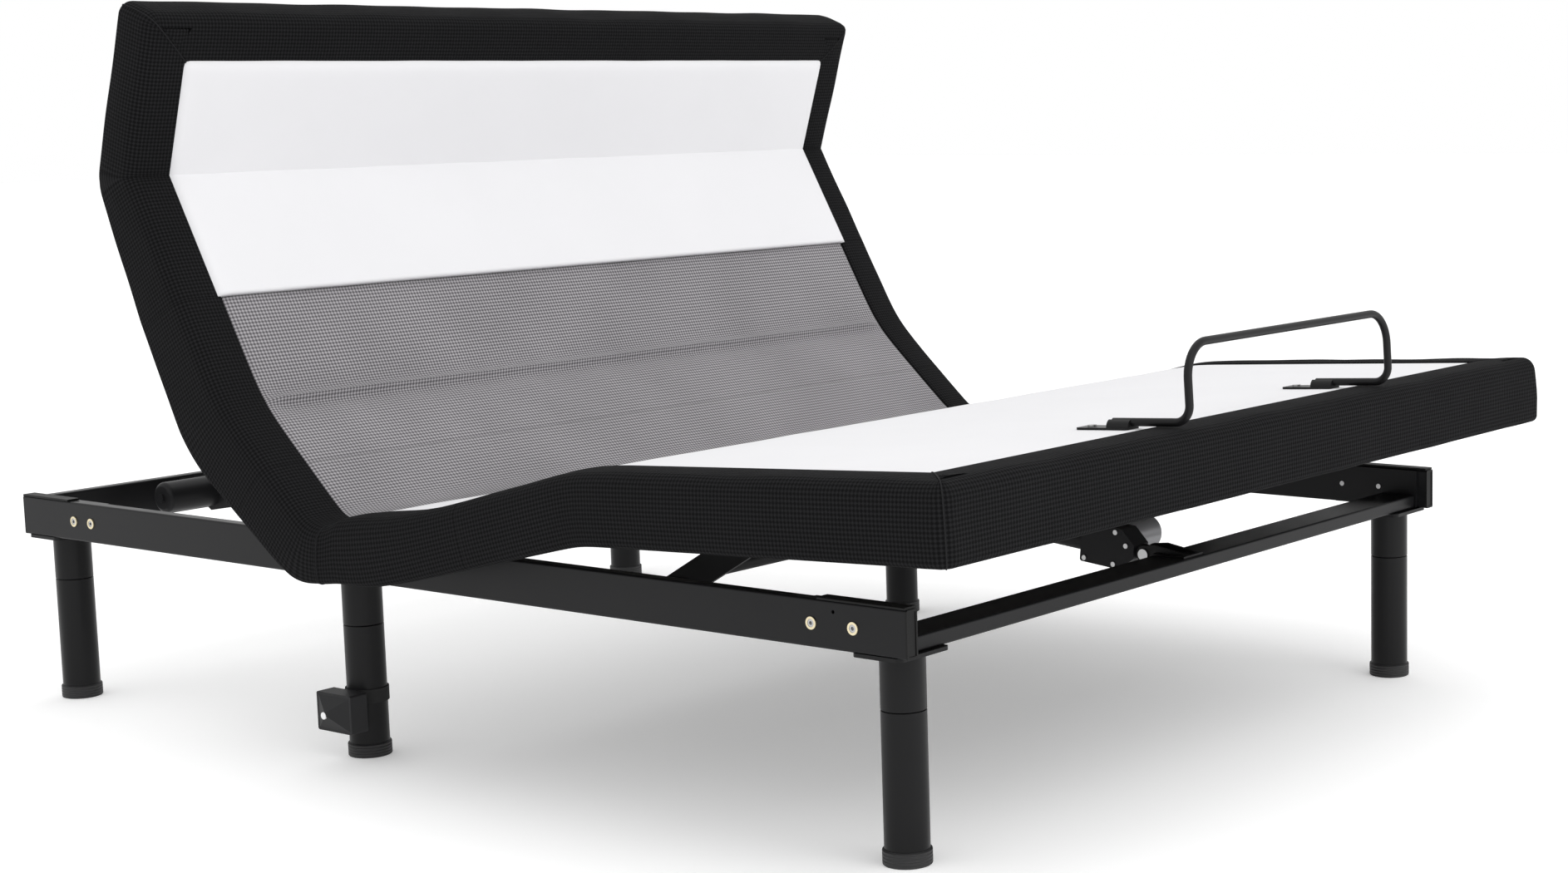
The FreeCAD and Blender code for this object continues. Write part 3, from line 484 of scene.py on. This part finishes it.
def edge_points(path, seed):
    """path: list of (kind, value). 'side' points give (k, t); 'corner' points give (k, end, angle); 'end' points give (end, x).
    Returns points (rows, columns, 3) and cloth coordinates."""
    rows, uv = [], []
    run = 0.0
    last = None
    for item in path:
        dp = deep(item[2]) if item[0] == "side" else DEEP_END[item[-1]]
        loop = cross_loop(float(dp))
        arc = 0.0
        row, ruv = [], []
        prev = None
        for (u, w) in loop:
            if item[0] == "side":
                k, t = item[1], item[2]
                x, tt = k * (HW - u), t
                run_key = t
            elif item[0] == "corner":
                k, end, a = item[1], item[2], item[3]
                # plan corner: centre inset by RC from both outer faces, beyond it the offsets meet on the mitre
                if u <= RC:
                    r = RC - u
                    x = k * (HW - RC + r * math.cos(a))
                    q = RC - r * math.sin(a)
                else:
                    x = k * (HW - u)
                    q = u
                tt = q if end == "foot" else T_END - q
            else:
                end, x0 = item[1], item[2]
                q = u
                lim = HW - max(u, RC)
                x = max(-lim, min(lim, x0))
                tt = q if end == "foot" else T_END - q
            puff = 0.0
            yzp = yz(tt, w)
            row.append((x, yzp[0], yzp[1]))
            if prev is not None:
                arc += math.hypot(u - prev[0], w - prev[1])
            prev = (u, w)
            ruv.append([0.0, arc])
        row = np.array(row)
        ref = row[16]
        if last is not None:
            run += float(np.linalg.norm(ref - last))
        last = ref
        for r in ruv:
            r[0] = run
        rows.append(row)
        uv.append(ruv)
    pts = np.array(rows)
    uv = np.array(uv)
    return pts, uv


def uneven(pts, uv, amount, seed, first=3, last=-7):
    """Small swells along the local surface normal of the outer rows."""
    du = np.gradient(pts, axis=0)
    dv = np.gradient(pts, axis=1)
    n = np.cross(du, dv)
    L = np.linalg.norm(n, axis=2, keepdims=True)
    n = n / np.maximum(L, 1e-9)
    f = np.zeros(pts.shape[1])
    f[first:last] = np.sin(np.linspace(0, math.pi, len(f[first:last]))) ** 0.5
    g = np.clip(np.minimum(np.arange(len(pts)), np.arange(len(pts))[::-1]) / 12.0, 0, 1)
    d = wave(uv[..., 0], uv[..., 1] * 2.0, seed) * amount * f[None, :] * g[:, None]
    return pts + n * d[..., None]


# stations
def stations(a, b, step=6.0):
    n = max(2, int(round((b - a) / step)) + 1)
    return list(np.linspace(a, b, n))


CUT = {"upper": t_at("upper", 175.0), "lower": t_at("lower", 121.0), "seat": t_at("seat", 133.0 - THIGH_Y), "thigh": t_at("thigh", 219.0)}
LAP = 0.0


def corner_run(k, end):
    """Stations round a corner, from the side to the end."""
    return [("corner", k, end, a, end) for a in np.linspace(0, math.pi / 2, 9)]


def end_run(end, k):
    """Stations across an end, from side k to the other."""
    return [("end", end, x, end) for x in np.linspace(k * (HW - RC), -k * (HW - RC), 150)]


def to_obj(name, pts, uv, mat, close, caps=(False, False)):
    return grid_mesh(name, pts, uv, mat, close_u=close, caps=caps)


def bend(o):
    """Bakes the piece's transform into its mesh."""
    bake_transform(o)


PIECES = {}
# foot end: near side, foot end and far side in one run, to the middle of the thigh section
side_a = [("side", -1, t) for t in reversed(stations(RC, CUT["thigh"]))]
path = [s + ("foot",) for s in side_a] + [("corner", -1, "foot", math.pi - a, "foot") for a in []]
path = [("side", -1, t, "foot") for t in reversed(stations(RC, CUT["thigh"]))]
path += corner_run(-1, "foot")[1:]
path += end_run("foot", -1)[1:]
path += list(reversed(corner_run(1, "foot")))[1:]
path += [("side", 1, t, "foot") for t in stations(RC, CUT["thigh"])][1:]
pts, uv = edge_points(path, 1)
PIECES["cover_edge_foot"] = (uneven(pts, uv, 1.3, 1.0), uv, "knee")
# pillow end
path = [("side", -1, t, "x") for t in stations(CUT["upper"], T_END - RC)]
path += corner_run(-1, "pillow")[1:]
path += end_run("pillow", -1)[1:]
path += list(reversed(corner_run(1, "pillow")))[1:]
path += [("side", 1, t, "x") for t in reversed(stations(CUT["upper"], T_END - RC))][1:]
pts, uv = edge_points(path, 2)
PIECES["cover_edge_pillow"] = (uneven(pts, uv, 1.3, 2.0), uv + np.array([CUT["upper"] - CUT["thigh"], 0]), "pillow")
for tag, k in (("near", -1), ("far", 1)):
    for name, a, b, hinge, seed in (("lumbar", CUT["lower"], CUT["upper"], "lumbar", 3.0), ("hip", CUT["seat"], CUT["lower"], "hip", 4.0), ("seat", CUT["thigh"], CUT["seat"], "thigh", 5.0)):
        pts, uv = edge_points([("side", k, t, "x") for t in stations(a, b, 5.0)], seed)
        PIECES["cover_edge_%s_%s" % (name, tag)] = (uneven(pts, uv, 1.0, seed), uv + np.array([a - CUT["thigh"], 0]), hinge)
for name, (pts, uv, hinge) in PIECES.items():
    o = to_obj(name, pts, uv, MAT["black_mesh"], True, (True, True))
    bend(o)
    PIECES[name] = o

# top panels between the borders
XS = np.concatenate([[-681.5, -680.6, -679.0, -676.0, -671.0], np.linspace(-664, 664, 112), [671.0, 676.0, 679.0, 680.6, 681.5]])
DIP = np.interp(680.6 - np.abs(XS), [-1, 0, 1.6, 4.6, 9.6, 20, 700], [5.0, 3.6, 2.0, 1.0, 0.4, 0.0, 0.0])


def panel(name, a, b, mat, a_edge=False, b_edge=False, step=6.0, seed=1.0, extra=None):
    ts = stations(a, b, step)
    if a_edge:
        ts = [a - 1.0, a, a + 1.5, a + 4.5] + [t for t in ts if t > a + 8]
    if b_edge:
        ts = [t for t in ts if t < b - 8] + [b - 4.5, b - 1.5, b, b + 1.0]
    ts = np.array(ts)
    dt = np.zeros(len(ts))
    if a_edge:
        dt = np.maximum(dt, np.interp(ts - a, [-1, 0, 1.5, 4.5, 12, 1e4], [5.0, 3.6, 2.0, 1.0, 0.2, 0]))
    if b_edge:
        dt = np.maximum(dt, np.interp(b - ts, [-1, 0, 1.5, 4.5, 12, 1e4], [5.0, 3.6, 2.0, 1.0, 0.2, 0]))
    W = np.full((len(ts), len(XS)), TOP + 0.2) - np.maximum(DIP[None, :], dt[:, None])
    TTm = np.repeat(ts[:, None], len(XS), 1)
    XX = np.repeat(XS[None, :], len(ts), 0)
    W += 0.5 * wave(XX, TTm, seed) * np.clip((680 - np.abs(XX)) / 60, 0, 1)
    if extra is not None:
        W += extra(XX, TTm)
    p = yz(TTm, W)
    pts = np.dstack([XX, p[..., 0], p[..., 1]])
    uv = np.dstack([TTm, XX])
    o = grid_mesh(name, pts, uv, mat)
    me = o.data
    sol = o.modifiers.new("thick", "SOLIDIFY")
    sol.thickness = 0.009
    sol.offset = -1
    sol.use_even_offset = False
    bpy.context.view_layer.objects.active = o
    bpy.ops.object.modifier_apply(modifier="thick")
    bend(o)
    return o


def lumbar_pull(x, t):
    """Slight sag of the cover toward the sides of the lumbar fold, and a soft roll just below it."""
    d = t - T0["lumbar"]
    ridge = 9.0 * np.exp(-0.5 * ((d - 3) / 6.0) ** 2) * (0.9 + 0.1 * np.sin(x * 0.009))
    return (ridge - 3.4 * np.exp(-0.5 * ((d + 21) / 12) ** 2) - 2.2 * np.exp(-0.5 * ((d - 28) / 14) ** 2)) * np.clip((680 - np.abs(x)) / 30, 0, 1)


panel("top_foot", INSET, CUT["thigh"], MAT["white_ticking"], a_edge=True, seed=1.3)
panel("top_thigh", CUT["thigh"], CUT["seat"], MAT["white_ticking"], b_edge=False, seed=1.3)
panel("top_hip", CUT["seat"], CUT["lower"], MAT["grey_mesh"], step=5.0, seed=2.3)
panel("top_lumbar", CUT["lower"], CUT["upper"], MAT["grey_mesh"], step=5.0, seed=2.3, extra=lumbar_pull)
panel("top_pillow", CUT["upper"], T_END - INSET, MAT["white_ticking"], b_edge=True, step=5.0, seed=3.1)
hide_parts("foot_pad")
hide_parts("thigh_pad")
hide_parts("seat_pad", "back_lower_pad")
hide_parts("back_upper_pad", "pillow_pad")
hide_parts("foot_edge_pads", "thigh_side_pads")
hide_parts("seat_side_pads", "back_lower_side_pads")
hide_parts("back_upper_side_pads", "pillow_edge_pads")


# ------------------------------------------------------------------ seams: fine cords
def tube(name, pts, r, mat, sides=6):
    pts = np.array(pts, float)
    tan = np.gradient(pts, axis=0)
    tan /= np.maximum(np.linalg.norm(tan, axis=1, keepdims=True), 1e-9)
    up = np.array([0.31, 0.17, 0.93])
    rows = []
    for p, d in zip(pts, tan):
        a = np.cross(d, up)
        a /= max(np.linalg.norm(a), 1e-9)
        b = np.cross(d, a)
        rows.append([p + r * (a * math.cos(q) + b * math.sin(q)) for q in np.linspace(0, 2 * math.pi, sides, endpoint=False)])
    rows = np.array(rows)
    uv = np.dstack([np.repeat(np.arange(len(pts))[:, None] * 1.0, sides, 1), np.repeat(np.arange(sides)[None, :], len(pts), 0)])
    return grid_mesh(name, rows, uv, mat, close_u=True, caps=(True, True))


def surf(x, t, w):
    p = yz(t, w)
    return [x, float(p[0]), float(p[1])]


def edge_line(k, end, what, off=0.5):
    """A seam down the outer corner, or across the top mitre."""
    out = []
    dp = DEEP_END[end]
    for (u, w) in cross_loop(dp)[2:31]:
        a = math.pi / 4
        if u <= RC:
            r = RC - u + off
            x, q = k * (HW - RC + r * math.cos(a)), RC - r * math.sin(a)
            ww = w + (off if w > 0 else -off) * (1 if abs(u) > 4 else 0)
        else:
            x, q, ww = k * (HW - u), u, w + off
        out.append(surf(x, q if end == "foot" else T_END - q, ww))
    return out


for k, tag in ((-1, "near"), (1, "far")):
    for end, body in (("foot", "foot"), ("pillow", "pillow")):
        o = tube("seam_corner_%s_%s" % (end, tag), edge_line(k, end, "all", 0.25), 0.9, MAT["seam_thread"])
        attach(o, body)
    line = [surf(k * (HW - u + 0.3 * (1 if u < 5 else 0)), t_at("seat", 127.0 - THIGH_Y), w + (0.3 if w > 0 else 0)) for (u, w) in cross_loop(-54.0)[2:31]]
    o = tube("seam_side_%s" % tag, line, 0.8, MAT["seam_thread"])
    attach(o, "base")

# ------------------------------------------------------------------ floor, light, camera
def plane(name, size, z):
    me = bpy.data.meshes.new(name)
    me.from_pydata([(-size, -size, z), (size, -size, z), (size, size, z), (-size, size, z)], [], [(0, 1, 2, 3)])
    o = bpy.data.objects.new(name, me)
    bpy.context.scene.collection.objects.link(o)
    return o


floor = plane("floor", 30, 0.0)
m, nt, b = material("floor_white")
b.inputs["Base Color"].default_value = (0.93, 0.93, 0.93, 1)
b.inputs["Roughness"].default_value = 0.85
b.inputs["Specular IOR Level"].default_value = 0.1
b.inputs["Emission Color"].default_value = (1, 1, 1, 1)
b.inputs["Emission Strength"].default_value = 0.22
floor.data.materials.append(m)

world = bpy.data.worlds.new("studio")
bpy.context.scene.world = world
world.use_nodes = True
bg = world.node_tree.nodes["Background"]
bg.inputs["Color"].default_value = (1, 1, 1, 1)
bg.inputs["Strength"].default_value = 1.0


def area(name, loc, look, size, power, shape="RECTANGLE", size_y=None):
    l = bpy.data.lights.new(name, "AREA")
    l.shape = shape
    l.size = size
    l.size_y = size_y or size
    l.energy = power
    o = bpy.data.objects.new(name, l)
    bpy.context.scene.collection.objects.link(o)
    o.location = loc
    d = Vector(look) - Vector(loc)
    o.rotation_euler = d.to_track_quat("-Z", "Y").to_euler()
    return o


area("key", (-1.5, -3.5, 4.2), (0, 0, 0.4), 3.5, 45, size_y=2.5)
area("top", (0.3, 0.6, 4.5), (0, 0, 0.3), 4.0, 20)
area("front", (0.4, -5.6, 1.5), (0, 0.3, 0.6), 3.2, 44, size_y=2.2)
area("side", (-4.5, 1.5, 2.2), (0, 0.3, 0.5), 2.5, 2)

yaw, pitch, roll = math.radians(53.52), math.radians(7.72), math.radians(-1.12)
f = np.array([math.sin(yaw) * math.cos(pitch), math.cos(yaw) * math.cos(pitch), -math.sin(pitch)])
r = np.array([math.cos(yaw), -math.sin(yaw), 0.0])
u = np.cross(r, f)
r2 = math.cos(roll) * r + math.sin(roll) * u
u2 = -math.sin(roll) * r + math.cos(roll) * u
cam_data = bpy.data.cameras.new("camera")
cam = bpy.data.objects.new("camera", cam_data)
bpy.context.scene.collection.objects.link(cam)
mw = Matrix(((r2[0], u2[0], -f[0], -2.9727), (r2[1], u2[1], -f[1], -2.7243 + DY / 1000), (r2[2], u2[2], -f[2], 0.9211), (0, 0, 0, 1)))
cam.matrix_world = mw
cam_data.sensor_width = 36.0
cam_data.lens = 3117.0 / 1886.0 * 36.0
cam_data.shift_x = -295.6 / 1886.0
cam_data.shift_y = 13.7 / 1886.0
cam_data.clip_end = 60
bpy.context.scene.camera = cam
bpy.context.scene.view_settings.view_transform = "Standard"
